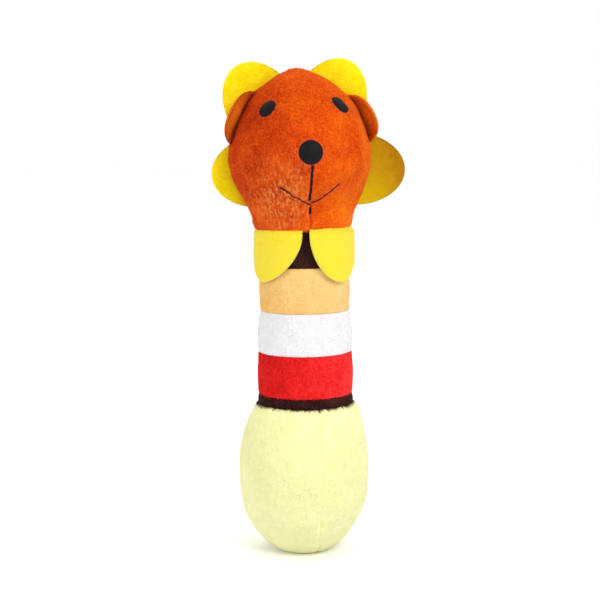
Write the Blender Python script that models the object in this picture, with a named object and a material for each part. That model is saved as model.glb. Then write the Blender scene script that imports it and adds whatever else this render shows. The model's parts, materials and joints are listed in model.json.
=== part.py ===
"""Plush stick toy with a lion's head: stuffed grip, banded stuffed stick, head with felt mane petals.

The toy stands upright. +Z is up, the face looks along -Y, and the origin is on the stick's axis at the
centre of the patch that the grip rests on. Each cover is a shell of pile fabric over stuffing of its own.
"""

import math

import bmesh
import bpy
from mathutils import Matrix, Vector

MM = 0.001

# Driving dimensions, in millimetres. Heights are above the surface that the grip rests on.
GAP = 0.3
FABRIC = 2.0
SEAM_ALLOWANCE = 6.0
SEAM_FOLD = 1.2
ROUND_STEPS = 24
MERGE = 0.001
CREASE = math.radians(40)
FAR = 90.0

# The grip: two elliptical arcs that meet at its widest ring, on a small flattened patch.
REST_RADIUS = 13.0
GRIP_RADIUS = 32.0
GRIP_WIDEST = 39.0
GRIP_UPPER_REACH = 52.0
GRIP_LOWER_REACH = GRIP_WIDEST / math.sqrt(1 - (REST_RADIUS / GRIP_RADIUS) ** 2)
GRIP_TOP = 73.0
GRIP_ARC_POINTS = 5
FRONT_SEAM_X = 4.8
SIDE_SEAM_Y = 1.2

# The stick stands a little to the right of the grip, which bows over to meet it.
STICK_SHIFT = 1.2
BOW_START = 49.5

# The stick: (height, radius) of its seams, from the grip up to the head.
STICK_SEAMS = ((GRIP_TOP, 23.7), (78.3, 23.2), (98.7, 23.0), (118.9, 21.9), (140.5, 21.3), (156.4, 20.6))
BAND_NAMES = ("waist_band", "red_band", "white_band", "apricot_band", "neck_band")
BAND_PUFF = 0.5
WAIST_PIVOT = 75.7
TURN_PIVOT = 118.9
NOD_PIVOT = 129.7

# The head, measured up from its open lower rim.
HEAD_BOTTOM = 158.3
HEAD_HEIGHT = 76.4
HEAD_WIDEST = 34.0
HEAD_RADIUS = 34.2
NECK_RADIUS = 23.4
CROWN_POWER, CROWN_ROOT = 2.3, 1.3
FACE_DEPTH, BACK_DEPTH = 1.02, 0.84
MUZZLE_REACH, MUZZLE_WIDTH, MUZZLE_HEIGHT = 4.5, 15.0, 19.0
MUZZLE_EDGE = 12.0
NOSE_HEIGHT = 36.5
HEAD_LEAN = math.radians(-2.5)
HEAD_SHIFT = -0.1
MANE_SEAM_Y = 3.0
JAW_STEPS, CROWN_STEPS = 5, 9

# Embroidery on the face.
THREAD = 1.0
NOSE_PADDING = 1.6
NOSE_RADIUS = 5.7
EYE_RADIUS = 4.5
EYE_DIRECTION = (15.6, -20.0, 16.8)
EYE_CENTRE_HEIGHT = 39.0
MOUTH_JOIN = 13.0
MOUTH_CLEAR, CHIN_REACH = 1.2, 5.0
NOSE_LINE_WIDTH = 1.6
SMILE_REACH, SMILE_RISE = 13.0, 8.0
SMILE_CURVE, SMILE_POINTS = 1.3, 5

# Felt petals and plush ears.
FELT = 1.5
PETAL_HALF_WIDTH = 17.5
PETAL_LENGTH = 25.0
PETAL_ROOT = 10.0
PETAL_CLEARANCE = 0.8
MANE_CENTRE = 30.0
UPPER_HINGE, SIDE_HINGE = 41.0, 34.8
# The flat petals: angle from straight up towards +X, distance of the root and of the hinge, lean to the back.
MANE = {
    "upper_petal_left": (-30.0, 31.5, UPPER_HINGE, 0.0),
    "upper_petal_right": (29.0, 31.0, UPPER_HINGE, 0.0),
    "side_petal_left": (-94.0, 18.0, SIDE_HINGE, 12.0),
    "side_petal_right": (95.5, 26.8, SIDE_HINGE, 0.0),
}
BIB_TOP = 156.8
BIB_RADIUS = 23.2
BIB_SPREAD, BIB_OFFSET = 48.0, -5.5
BIB_HALF_ANGLE = 44.0
BIB_LENGTH = 23.0
BIB_FACET, BIB_CUTS = 14.0, 5
EAR_HALF_BASE = 12.0
EAR_HEIGHT = 12.5
EAR_ROOT = 5.0
EAR_FABRIC = 2.0
# The ears: place of the root in the head's frame, and its slope there.
EARS = {"left": (-26.4, -2.2, 53.6, 28.0), "right": (27.4, -2.2, 50.4, 25.0)}
EAR_FORWARD = 50.0

# The squeaker in the grip.
SQUEAKER_RADIUS = 17.0
SQUEAKER_HALF_HEIGHT = 10.0
SQUEAKER_WALL = 0.8
SQUEAKER_HEIGHT = 38.0
PLUG_RADIUS = 4.7
PLUG_FLANGE = 6.2
PLUG_LENGTH = 6.0
PLUG_BORE = 1.8
REED_WIDTH, REED_THICKNESS, REED_LENGTH = 2.4, 0.3, 5.0
POCKET_ROOM = 0.5

FINISHES = {
    "pale_yellow_plush": ((0.95, 0.94, 0.45), 0.95),
    "brown_plush": ((0.045, 0.012, 0.010), 0.95),
    "red_plush": ((0.86, 0.022, 0.022), 0.95),
    "white_plush": ((0.90, 0.88, 0.89), 0.95),
    "apricot_plush": ((0.95, 0.62, 0.24), 0.95),
    "orange_plush": ((0.72, 0.085, 0.008), 0.95),
    "yellow_felt": ((0.97, 0.80, 0.01), 0.90),
    "black_thread": ((0.008, 0.006, 0.007), 0.55),
    "fibrefill": ((0.85, 0.85, 0.83), 1.00),
    "squeaker_plastic": ((0.80, 0.82, 0.84), 0.45),
}
BAND_FINISHES = ("brown_plush", "red_plush", "white_plush", "apricot_plush", "brown_plush")


def clear_scene():
    for old in list(bpy.data.objects):
        bpy.data.objects.remove(old)


def finish(name):
    """The named Principled material, made the first time that it is asked for."""
    made = bpy.data.materials.get(name)
    if made is None:
        colour, roughness = FINISHES[name]
        made = bpy.data.materials.new(name)
        made.use_nodes = True
        shader = made.node_tree.nodes["Principled BSDF"]
        shader.inputs["Base Color"].default_value = (*colour, 1.0)
        shader.inputs["Roughness"].default_value = roughness
        shader.inputs["Metallic"].default_value = 0.0
    return made


def pivot(name, place, parent=None, rotation=None):
    """An empty on a joint's axis. Its place is in millimetres, in its parent's frame."""
    empty = bpy.data.objects.new(name, None)
    empty.matrix_basis = Matrix.Translation(Vector(place) * MM) @ (rotation or Matrix.Identity(4))
    empty.parent = parent
    bpy.context.scene.collection.objects.link(empty)
    return empty


def make(name, bm, material, parent=None):
    """One object from a bmesh in millimetres, in its parent's frame. No material makes it a cutter."""
    bmesh.ops.remove_doubles(bm, verts=bm.verts, dist=MERGE)
    bmesh.ops.recalc_face_normals(bm, faces=bm.faces)
    bmesh.ops.scale(bm, vec=(MM, MM, MM), verts=bm.verts)
    mesh = bpy.data.meshes.new(name)
    bm.to_mesh(mesh)
    bm.free()
    made = bpy.data.objects.new(name, mesh)
    made.parent = parent
    bpy.context.scene.collection.objects.link(made)
    if material is None:
        made.hide_render = True
        made.display_type = "WIRE"
    else:
        mesh.materials.append(finish(material))
        mesh.shade_smooth()
        mesh.set_sharp_from_angle(angle=CREASE)
    return made


def boolean(target, cutter, operation):
    modifier = target.modifiers.new(f"{operation.lower()}_{cutter.name}", "BOOLEAN")
    modifier.operation = operation
    modifier.solver = "EXACT"
    modifier.object = cutter


def turned(points, steps=ROUND_STEPS):
    """A bmesh turned round Z from (radius, height) points: a closed ring, or a line from axis to axis."""
    bm = bmesh.new()
    corners = [bm.verts.new((r, 0, z)) for r, z in points]
    edges = [bm.edges.new(pair) for pair in zip(corners, corners[1:])]
    if points[0][0] > 0:
        edges.append(bm.edges.new((corners[-1], corners[0])))
    bmesh.ops.spin(
        bm,
        geom=corners + edges,
        axis=(0, 0, 1),
        cent=(0, 0, 0),
        angle=2 * math.pi,
        steps=steps,
        use_merge=True,
    )
    return bm


def slab(low, high):
    """A box from its lowest to its highest corner."""
    bm = bmesh.new()
    middle = (Vector(low) + Vector(high)) / 2
    size = Vector(high) - Vector(low)
    bmesh.ops.create_cube(bm, size=1, matrix=Matrix.Translation(middle) @ Matrix.Diagonal((*size, 1)))
    return bm


def plate(outline, start, end):
    """A flat outline of (x, z) points in the plane y = start, thickened to y = end."""
    bm = bmesh.new()
    face = bm.faces.new([bm.verts.new((x, start, z)) for x, z in outline])
    grown = bmesh.ops.extrude_face_region(bm, geom=[face])
    moved = [v for v in grown["geom"] if isinstance(v, bmesh.types.BMVert)]
    bmesh.ops.translate(bm, vec=(0, end - start, 0), verts=moved)
    return bm


# The grip


def grip_outline(inset):
    """(radius, height) of the grip from its resting patch to its top, this far inside the outer surface."""
    points = []
    low = -math.asin(GRIP_WIDEST / GRIP_LOWER_REACH)
    high = math.asin((GRIP_TOP - GRIP_WIDEST) / GRIP_UPPER_REACH)
    for reach, start, end in ((GRIP_LOWER_REACH, low, 0), (GRIP_UPPER_REACH, 0, high)):
        for i in range(GRIP_ARC_POINTS + 1):
            angle = start + (end - start) * i / GRIP_ARC_POINTS
            radius = (GRIP_RADIUS - inset) * math.cos(angle)
            height = GRIP_WIDEST + (reach - inset) * math.sin(angle)
            points.append((radius, max(height, inset)))
    return [p for i, p in enumerate(points) if i == 0 or math.dist(p, points[i - 1]) > 0.5]


def grip_shell():
    """The whole cover of the grip with its top edge turned in, before it is parted into panels."""
    outer = grip_outline(0)
    inner = [p for p in grip_outline(FABRIC) if p[1] < GRIP_TOP - SEAM_FOLD - 1]
    rim = outer[-1][0]
    fold = [
        (rim, GRIP_TOP),
        (rim - SEAM_ALLOWANCE, GRIP_TOP),
        (rim - SEAM_ALLOWANCE, GRIP_TOP - SEAM_FOLD),
        (rim - FABRIC, GRIP_TOP - SEAM_FOLD),
    ]
    return turned([(0, 0), *outer[:-1], *fold, *reversed(inner), (0, FABRIC)])


def bow_over(bm):
    """Eases the grip's shoulder sideways, so that its top meets the stick."""
    for v in bm.verts:
        share = max(0, (v.co.z - BOW_START) / (GRIP_TOP - BOW_START))
        v.co.x += STICK_SHIFT * share * share * (3 - 2 * share)
    return bm


def grip_panels():
    """Four panels, parted at the front and back seam and at the two side seams."""
    for side, x_low, x_high in (
        ("left", -FAR, FRONT_SEAM_X - GAP / 2),
        ("right", FRONT_SEAM_X + GAP / 2, FAR),
    ):
        for face, y_low, y_high in (
            ("front", -FAR, SIDE_SEAM_Y - GAP / 2),
            ("back", SIDE_SEAM_Y + GAP / 2, FAR),
        ):
            panel = make(f"grip_panel_{face}_{side}", bow_over(grip_shell()), "pale_yellow_plush")
            corner = make(f"cut_{face}_{side}", slab((x_low, y_low, -FAR), (x_high, y_high, FAR)), None)
            boolean(panel, corner, "INTERSECT")


def squeaker_outline(inset, from_height, to_height):
    """(radius, height) of the squeaker's rounded body between two heights, this far inside it."""
    steps = GRIP_ARC_POINTS
    reach = SQUEAKER_HALF_HEIGHT - inset
    low, high = (
        math.asin(max(-1, min(1, (z - SQUEAKER_HEIGHT) / reach))) for z in (from_height, to_height)
    )
    points = []
    for i in range(steps + 1):
        angle = low + (high - low) * i / steps
        radius = (SQUEAKER_RADIUS - inset) * math.cos(angle)
        points.append((radius, SQUEAKER_HEIGHT + reach * math.sin(angle)))
    return points


def grip_stuffing():
    """The stuffing below and above the squeaker, each with its half of the squeaker's pocket."""
    middle = SQUEAKER_HEIGHT
    outline = grip_outline(FABRIC + GAP)
    lower_wall = [p for p in outline if p[1] < middle - 1]
    upper_wall = [p for p in outline if middle + 1 < p[1] < GRIP_TOP - SEAM_FOLD - 2]
    bottom = middle - SQUEAKER_HALF_HEIGHT - POCKET_ROOM
    pocket_low = squeaker_outline(-POCKET_ROOM, bottom, middle)
    rim_low = GRIP_RADIUS - FABRIC - GAP
    make(
        "grip_stuffing_lower",
        turned([(0, FABRIC + GAP), *lower_wall, (rim_low, middle), *reversed(pocket_low[1:]), (0, bottom)]),
        "fibrefill",
    )
    split = middle + GAP
    plug_top = middle + SQUEAKER_HALF_HEIGHT + SEAM_FOLD + 2 * POCKET_ROOM
    plug_room = PLUG_FLANGE + POCKET_ROOM
    pocket_high = [
        p
        for p in squeaker_outline(-POCKET_ROOM, split, middle + SQUEAKER_HALF_HEIGHT)
        if p[0] > plug_room + 1
    ]
    rim = grip_outline(0)[-1][0]
    neck = rim - SEAM_ALLOWANCE - GAP
    fold_room = GRIP_TOP - SEAM_FOLD - GAP
    make(
        "grip_stuffing_upper",
        bow_over(
            turned(
                [
                    (0, plug_top),
                    (plug_room, plug_top),
                    (plug_room, middle + SQUEAKER_HALF_HEIGHT),
                    *reversed(pocket_high),
                    (rim_low, split),
                    *upper_wall,
                    (rim - FABRIC - 2 * GAP, fold_room),
                    (neck, fold_room),
                    (neck, GRIP_TOP),
                    (0, GRIP_TOP),
                ]
            )
        ),
        "fibrefill",
    )


def squeaker():
    """A blown bladder with a reed plug in its neck. The plug travels down as the bladder is squeezed."""
    neck = PLUG_RADIUS + GAP
    top = SQUEAKER_HEIGHT + SQUEAKER_HALF_HEIGHT * math.sqrt(1 - (neck / SQUEAKER_RADIUS) ** 2)
    inner_reach = SQUEAKER_HALF_HEIGHT - SQUEAKER_WALL
    inner_top = SQUEAKER_HEIGHT + inner_reach * math.sqrt(1 - (neck / (SQUEAKER_RADIUS - SQUEAKER_WALL)) ** 2)
    bottom = SQUEAKER_HEIGHT - SQUEAKER_HALF_HEIGHT
    outer = squeaker_outline(0, bottom, top)
    inner = squeaker_outline(SQUEAKER_WALL, bottom + SQUEAKER_WALL, inner_top)
    outer[0] = (0, bottom)
    inner[0] = (0, bottom + SQUEAKER_WALL)
    make("squeaker_bladder", turned([*outer, *reversed(inner)], 16), "squeaker_plastic")
    plug = pivot("squeak_axis", (0, 0, top + GAP))
    make(
        "squeaker_plug",
        turned(
            [
                (PLUG_BORE, -PLUG_LENGTH),
                (PLUG_RADIUS, -PLUG_LENGTH),
                (PLUG_RADIUS, 0),
                (PLUG_FLANGE, 0),
                (PLUG_FLANGE, SEAM_FOLD),
                (PLUG_BORE, SEAM_FOLD),
            ],
            12,
        ),
        "squeaker_plastic",
        plug,
    )
    wide, thick = REED_WIDTH / 2, REED_THICKNESS / 2
    make("squeaker_reed", slab((-wide, -thick, -REED_LENGTH), (wide, thick, 0)), "squeaker_plastic", plug)


# The stick


def stick_radius(height):
    """The stick's outer radius, eased between its seams."""
    for (z0, r0), (z1, r1) in zip(STICK_SEAMS, STICK_SEAMS[1:]):
        if height <= z1:
            share = max(0, (height - z0) / (z1 - z0))
            return r0 + (r1 - r0) * share + BAND_PUFF * math.sin(math.pi * share)
    return STICK_SEAMS[-1][1]


def band_span(index):
    """The lowest and highest of one band, with half a gap left at each seam."""
    return STICK_SEAMS[index][0] + GAP / 2, STICK_SEAMS[index + 1][0] - GAP / 2


def band(index, parent, home):
    """A tube of pile fabric with both edges turned in for its seams."""
    low, high = band_span(index)
    heights = [low, (low + high) / 2, high]
    outer = [(stick_radius(z), z) for z in heights]
    fold_in = outer[0][0] - SEAM_ALLOWANCE
    wall_low, wall_high = low + SEAM_FOLD, high - SEAM_FOLD
    section = [
        *outer,
        (outer[-1][0] - SEAM_ALLOWANCE, high),
        (outer[-1][0] - SEAM_ALLOWANCE, wall_high),
        (stick_radius(wall_high) - FABRIC, wall_high),
        (stick_radius(heights[1]) - FABRIC, heights[1]),
        (stick_radius(wall_low) - FABRIC, wall_low),
        (fold_in, wall_low),
        (fold_in, low),
    ]
    section = [(r, z - home) for r, z in section]
    make(BAND_NAMES[index], turned(section), BAND_FINISHES[index], parent)


def band_stuffing(name, indices, parent, home):
    """Stuffing that fills some bands, necked in where their seam allowances are."""
    clear = FABRIC + GAP
    neck = SEAM_ALLOWANCE + GAP
    section = [(0, band_span(indices[0])[0])]
    for index in indices:
        low, high = band_span(index)
        fold = SEAM_FOLD + GAP
        section += [(stick_radius(low) - neck, low), (stick_radius(low) - neck, low + fold)]
        inside = [low + fold, (low + high) / 2, high - fold]
        section += [(stick_radius(z) - clear, z) for z in inside]
        section += [(stick_radius(high) - neck, high - fold), (stick_radius(high) - neck, high)]
    section.append((0, section[-1][1]))
    make(name, turned([(r, z - home) for r, z in section]), "fibrefill", parent)


# The head, in its own frame: the origin is the centre of the lower rim, and the face looks along -Y.


def head_half_width(height):
    """Half the head's width: it eases out from the neck to its widest, then closes as a superellipse."""
    if height < HEAD_WIDEST:
        share = max(0, height / HEAD_WIDEST)
        return NECK_RADIUS + (HEAD_RADIUS - NECK_RADIUS) * share * share * (3 - 2 * share)
    share = min(1, (height - HEAD_WIDEST) / (HEAD_HEIGHT - HEAD_WIDEST))
    return HEAD_RADIUS * (1 - share**CROWN_POWER) ** (1 / CROWN_ROOT)


def head_section(offset):
    """(radius, height) up the head, this far outside its surface, from the lower rim to the crown."""
    heights = [HEAD_WIDEST * i / JAW_STEPS for i in range(JAW_STEPS)]
    rise = HEAD_HEIGHT - HEAD_WIDEST
    heights += [HEAD_WIDEST + rise * math.sin(math.pi / 2 * i / CROWN_STEPS) for i in range(CROWN_STEPS)]
    points = []
    for z in heights:
        step = 0.2
        slope = (head_half_width(z + step) - head_half_width(z)) / step
        length = math.hypot(1, slope)
        up = -slope * offset / length if z > 0 else 0
        points.append((head_half_width(z) + offset / length, z + up))
    return [*points, (0, HEAD_HEIGHT + offset)]


def shape_face(bm):
    """Deepens the front, flattens the back and pushes the muzzle out, fading to a round neck below."""
    for v in bm.verts:
        x, y, z = v.co
        rise = min(1, max(0, z / HEAD_WIDEST))
        ease = rise * rise * (3 - 2 * rise)
        depth = FACE_DEPTH if y < 0 else BACK_DEPTH
        y *= 1 + (depth - 1) * ease
        if v.co.y < 0:
            bump = math.exp(-((x / MUZZLE_WIDTH) ** 2) - ((z - NOSE_HEIGHT) / MUZZLE_HEIGHT) ** 2)
            front = min(1, -v.co.y / MUZZLE_EDGE)
            y -= MUZZLE_REACH * bump * ease * front
        v.co.y = y


def head_shell(inner, outer):
    """The layer between two offsets from the head's surface, open at the neck."""
    bm = turned([*head_section(outer), *reversed(head_section(inner))])
    shape_face(bm)
    return bm


def head_solid(offset, bottom=0.0):
    """The head filled in, this far outside its surface, with a flat underside."""
    section = head_section(offset)
    bm = turned([(0, bottom), (section[0][0], bottom), *section[1:]])
    shape_face(bm)
    return bm


def head_covers(parent):
    """The face panel and the two panels of the back of the head, parted at the mane seam."""
    face_end, back_start = MANE_SEAM_Y - GAP / 2, MANE_SEAM_Y + GAP / 2
    for name, low, high in (
        ("face_panel", (-FAR, -FAR, -FAR), (FAR, face_end, FAR)),
        ("head_back_left", (-FAR, back_start, -FAR), (-GAP / 2, FAR, FAR)),
        ("head_back_right", (GAP / 2, back_start, -FAR), (FAR, FAR, FAR)),
    ):
        panel = make(name, head_shell(-FABRIC, 0), "orange_plush", parent)
        boolean(panel, make(f"cut_{name}", slab(low, high), None, parent), "INTERSECT")
    make("head_stuffing", head_solid(-FABRIC - GAP), "fibrefill", parent)


def outward(direction):
    """The rotation that takes +Z to a direction."""
    return Vector(direction).to_track_quat("Z", "Y").to_matrix().to_4x4()


def stitched_pad(name, parent, centre, direction, radius, height):
    """A round of satin stitch that lies on the face."""
    pad = make(name, head_shell(GAP, GAP + height), "black_thread", parent)
    core = bmesh.new()
    bmesh.ops.create_cone(
        core,
        cap_ends=True,
        segments=ROUND_STEPS,
        radius1=radius,
        radius2=radius,
        depth=FAR,
        matrix=Matrix.Translation(centre) @ outward(direction) @ Matrix.Translation((0, 0, FAR / 2)),
    )
    boolean(pad, make(f"cut_{name}", core, None, parent), "INTERSECT")


def stitched_line(name, parent, outline):
    """A line of stitches on the face, from its outline as seen from the front."""
    line = make(name, head_shell(GAP, GAP + THREAD), "black_thread", parent)
    boolean(line, make(f"cut_{name}", plate(outline, -FAR, 0), None, parent), "INTERSECT")


def embroidery(parent):
    middle = (0, 0, EYE_CENTRE_HEIGHT)
    for side, sign in (("left", -1), ("right", 1)):
        x, y, z = EYE_DIRECTION
        stitched_pad(f"eye_{side}", parent, middle, (sign * x, y, z), EYE_RADIUS, THREAD)
    stitched_pad("nose", parent, (0, 0, NOSE_HEIGHT), (0, -1, 0), NOSE_RADIUS, NOSE_PADDING)
    half = NOSE_LINE_WIDTH / 2
    top = NOSE_HEIGHT - NOSE_RADIUS - GAP
    bottom = MOUTH_JOIN + MOUTH_CLEAR
    stitched_line("nose_line", parent, [(-half, bottom), (half, bottom), (half, top), (-half, top)])
    low, high = MOUTH_JOIN - CHIN_REACH, MOUTH_JOIN - MOUTH_CLEAR
    stitched_line("chin_stitch", parent, [(-half, low), (half, low), (half, high), (-half, high)])
    for side, sign in (("left", -1), ("right", 1)):
        shares = [i / SMILE_POINTS for i in range(SMILE_POINTS + 1)]
        curve = [(half + GAP + SMILE_REACH * s, MOUTH_JOIN + SMILE_RISE * s**SMILE_CURVE) for s in shares]
        under = [(sign * x, z - THREAD / 2) for x, z in curve]
        over = [(sign * x, z + THREAD / 2) for x, z in reversed(curve)]
        stitched_line(f"smile_{side}", parent, under + over)


def petal_outline(half_width, length, root):
    """Half an ellipse on straight sides that run on past the root."""
    steps = ROUND_STEPS // 2
    tip = [
        (half_width * math.cos(math.pi * i / steps), length * math.sin(math.pi * i / steps))
        for i in range(steps + 1)
    ]
    return [*tip, (-half_width, -root), (half_width, -root)]


def ring_point(angle, distance):
    """A point of the mane's ring, in the head's frame: the angle is from straight up, towards +X."""
    turn = math.radians(angle)
    return Vector((distance * math.sin(turn), MANE_SEAM_Y, MANE_CENTRE + distance * math.cos(turn)))


def mane_petals(parent):
    """Four flat felt petals in the mane seam. Each turns about the tangent where it leaves the head."""
    keep_off = make("cut_head", head_solid(PETAL_CLEARANCE, -PETAL_LENGTH), None, parent)
    for name, (angle, root, hinge, back) in MANE.items():
        turn = Matrix.Rotation(math.radians(angle), 4, "Y") @ Matrix.Rotation(math.radians(-back), 4, "X")
        axis = pivot(f"{name}_axis", ring_point(angle, hinge), parent, turn)
        shape = petal_outline(PETAL_HALF_WIDTH, PETAL_LENGTH, PETAL_ROOT)
        felt = plate([(x, z + root - hinge) for x, z in shape], -FELT / 2, FELT / 2)
        boolean(make(name, felt, "yellow_felt", axis), keep_off, "DIFFERENCE")
    return keep_off


def bib_petals(parent, home):
    """Two felt petals that hang from the chin seam and wrap round the stick."""
    for side, sign in (("left", -1), ("right", 1)):
        name = f"bib_petal_{side}"
        centre = math.radians(BIB_OFFSET + sign * BIB_SPREAD)
        middle = BIB_RADIUS + FELT / 2
        place = Vector((middle * math.sin(centre), -middle * math.cos(centre), BIB_TOP - home))
        axis = pivot(f"{name}_axis", place, parent, Matrix.Rotation(centre, 4, "Z"))
        bm = plate(petal_outline(BIB_HALF_ANGLE, BIB_LENGTH, 0), 0, FELT)
        bmesh.ops.triangulate(bm, faces=bm.faces)
        for _ in range(BIB_CUTS):
            wide = [e for e in bm.edges if abs(e.verts[0].co.x - e.verts[1].co.x) > BIB_FACET]
            bmesh.ops.subdivide_edges(bm, edges=wide, cuts=1)
            bmesh.ops.triangulate(bm, faces=bm.faces)
        for v in bm.verts:
            around = math.radians(v.co.x)
            radius = BIB_RADIUS + v.co.y
            v.co = Vector((radius * math.sin(around), middle - radius * math.cos(around), -v.co.z))
        make(name, bm, "yellow_felt", axis)


def ears(parent, keep_off):
    """Two plush ears of two layers each, sewn into the mane seam and folded forward."""
    for side, sign in (("left", -1), ("right", 1)):
        slope, forward = math.radians(EARS[side][3]), math.radians(EAR_FORWARD)
        along = Vector((-sign * math.sin(slope), 0, math.cos(slope)))
        out = Vector((sign * math.cos(slope), 0, math.sin(slope)))
        reach = out * math.cos(forward) + Vector((0, -1, 0)) * math.sin(forward)
        across = reach.cross(along)
        turn = Matrix((along, across, reach)).transposed().to_4x4()
        axis = pivot(f"ear_{side}_axis", EARS[side][:3], parent, turn)
        front = -sign
        for layer, facing in (("inner", front), ("outer", -front)):
            near, far = facing * GAP / 2, facing * (GAP / 2 + EAR_FABRIC)
            bm = plate(petal_outline(EAR_HALF_BASE, EAR_HEIGHT, EAR_ROOT), near, far)
            ear = make(f"ear_{side}_{layer}", bm, "orange_plush", axis)
            boolean(ear, keep_off, "DIFFERENCE")


def build_toy():
    clear_scene()
    grip_panels()
    grip_stuffing()
    squeaker()
    grip_top = pivot("grip_top", (STICK_SHIFT, 0, 0))
    waist = pivot("waist_axis", (STICK_SHIFT, 0, WAIST_PIVOT))
    neck_turn = pivot("neck_turn_axis", (0, 0, TURN_PIVOT - WAIST_PIVOT), waist)
    neck_nod = pivot("neck_nod_axis", (0, 0, NOD_PIVOT - TURN_PIVOT), neck_turn)
    for indices, stuffing, parent, home in (
        ((0,), "waist_stuffing", grip_top, 0),
        ((1, 2), "stick_stuffing", waist, WAIST_PIVOT),
        ((3,), "apricot_stuffing", neck_turn, TURN_PIVOT),
        ((4,), "neck_stuffing", neck_nod, NOD_PIVOT),
    ):
        for index in indices:
            band(index, parent, home)
        band_stuffing(stuffing, indices, parent, home)
    lean = Matrix.Rotation(HEAD_LEAN, 4, "Y")
    head = pivot("head_seat", (HEAD_SHIFT, 0, HEAD_BOTTOM - NOD_PIVOT), neck_nod, lean)
    head_covers(head)
    embroidery(head)
    keep_off = mane_petals(head)
    ears(head, keep_off)
    bib_petals(neck_nod, NOD_PIVOT)


build_toy()
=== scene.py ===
# %% [markdown]
# # A plush stick toy with a lion's head
# The toy is a stuffed grip, a stuffed stick in five colours, and a stuffed head with felt petals for a mane.
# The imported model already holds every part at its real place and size. This lesson dresses it: each plain
# solid is replaced by a piece of plush, felt or thread whose surface is worth looking at closely.

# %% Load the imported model
import json
import math

import bmesh
import bpy
import numpy as np
from mathutils import Matrix, Vector, noise
from mathutils.bvhtree import BVHTree


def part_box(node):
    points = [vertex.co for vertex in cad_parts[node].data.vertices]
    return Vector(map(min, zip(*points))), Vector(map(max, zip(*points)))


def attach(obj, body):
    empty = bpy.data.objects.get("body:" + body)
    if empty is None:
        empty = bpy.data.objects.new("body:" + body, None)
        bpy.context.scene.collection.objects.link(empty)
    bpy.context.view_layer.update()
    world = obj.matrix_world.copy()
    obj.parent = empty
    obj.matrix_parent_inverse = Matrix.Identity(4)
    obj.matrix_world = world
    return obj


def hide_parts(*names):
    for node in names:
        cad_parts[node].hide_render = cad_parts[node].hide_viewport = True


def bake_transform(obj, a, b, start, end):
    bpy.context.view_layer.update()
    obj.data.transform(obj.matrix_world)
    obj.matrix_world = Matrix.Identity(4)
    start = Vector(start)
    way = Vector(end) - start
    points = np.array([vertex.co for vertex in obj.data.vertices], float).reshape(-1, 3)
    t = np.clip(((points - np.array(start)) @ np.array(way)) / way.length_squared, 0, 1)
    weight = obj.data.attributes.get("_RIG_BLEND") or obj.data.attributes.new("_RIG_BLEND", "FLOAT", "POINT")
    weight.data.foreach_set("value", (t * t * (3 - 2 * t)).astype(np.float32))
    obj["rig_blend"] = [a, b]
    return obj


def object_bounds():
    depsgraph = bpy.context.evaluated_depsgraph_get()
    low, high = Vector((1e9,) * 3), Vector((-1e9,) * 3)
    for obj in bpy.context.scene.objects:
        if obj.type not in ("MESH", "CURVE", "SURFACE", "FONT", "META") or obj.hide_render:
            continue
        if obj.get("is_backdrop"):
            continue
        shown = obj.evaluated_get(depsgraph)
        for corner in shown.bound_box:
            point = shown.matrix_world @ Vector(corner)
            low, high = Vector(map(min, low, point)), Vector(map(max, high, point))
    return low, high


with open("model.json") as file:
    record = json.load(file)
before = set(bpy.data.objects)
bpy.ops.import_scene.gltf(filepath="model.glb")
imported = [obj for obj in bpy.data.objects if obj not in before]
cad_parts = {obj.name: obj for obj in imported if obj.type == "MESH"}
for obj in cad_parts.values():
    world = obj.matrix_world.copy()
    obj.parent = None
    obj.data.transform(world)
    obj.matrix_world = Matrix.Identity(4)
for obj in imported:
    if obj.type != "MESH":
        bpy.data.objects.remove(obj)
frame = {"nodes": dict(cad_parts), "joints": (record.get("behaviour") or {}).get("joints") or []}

cad_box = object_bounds()
joints = {joint["name"]: joint for joint in frame["joints"]}
MM = 0.001
print("toy stands", round((cad_box[1].z - cad_box[0].z) / MM, 1), "mm tall")

# %% [markdown]
# ## Stage, light and camera
# A soft toy is shown on white with big, soft lamps, so that the pile shows without hard shadows. The floor is
# a plain white sheet. A large lamp on the camera's right shapes the form, a weaker one on the left and one
# behind keep the rest open, and a white world fills in. The camera is a short telephoto, a little above the
# toy's middle and a few degrees to its left.

# %% Floor, world and lamps
FLOOR_HALF = 40.0


def plain_material(name, colour, roughness):
    """A material with one colour, for the stage only."""
    made = bpy.data.materials.new(name)
    made.use_nodes = True
    shader = made.node_tree.nodes["Principled BSDF"]
    shader.inputs["Base Color"].default_value = (*colour, 1)
    shader.inputs["Roughness"].default_value = roughness
    return made


bm = bmesh.new()
bmesh.ops.create_grid(bm, x_segments=1, y_segments=1, size=FLOOR_HALF)
floor_mesh = bpy.data.meshes.new("floor")
bm.to_mesh(floor_mesh)
bm.free()
floor_mesh.materials.append(plain_material("floor_paper", (1.0, 1.0, 1.0), 0.9))
floor = bpy.data.objects.new("floor", floor_mesh)
bpy.context.scene.collection.objects.link(floor)
floor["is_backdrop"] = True

world = bpy.data.worlds.new("studio")
world.use_nodes = True
world.node_tree.nodes["Background"].inputs["Color"].default_value = (1, 1, 1, 1)
world.node_tree.nodes["Background"].inputs["Strength"].default_value = 1.0
bpy.context.scene.world = world
bpy.context.scene.view_settings.view_transform = "Standard"


def lamp(name, place, target, size, watts):
    """A square area lamp that looks at a target."""
    light = bpy.data.lights.new(name, "AREA")
    light.size, light.energy = size, watts
    made = bpy.data.objects.new(name, light)
    made.location = place
    made.rotation_euler = (Vector(target) - Vector(place)).to_track_quat("-Z", "Y").to_euler()
    bpy.context.scene.collection.objects.link(made)
    return made


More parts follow.
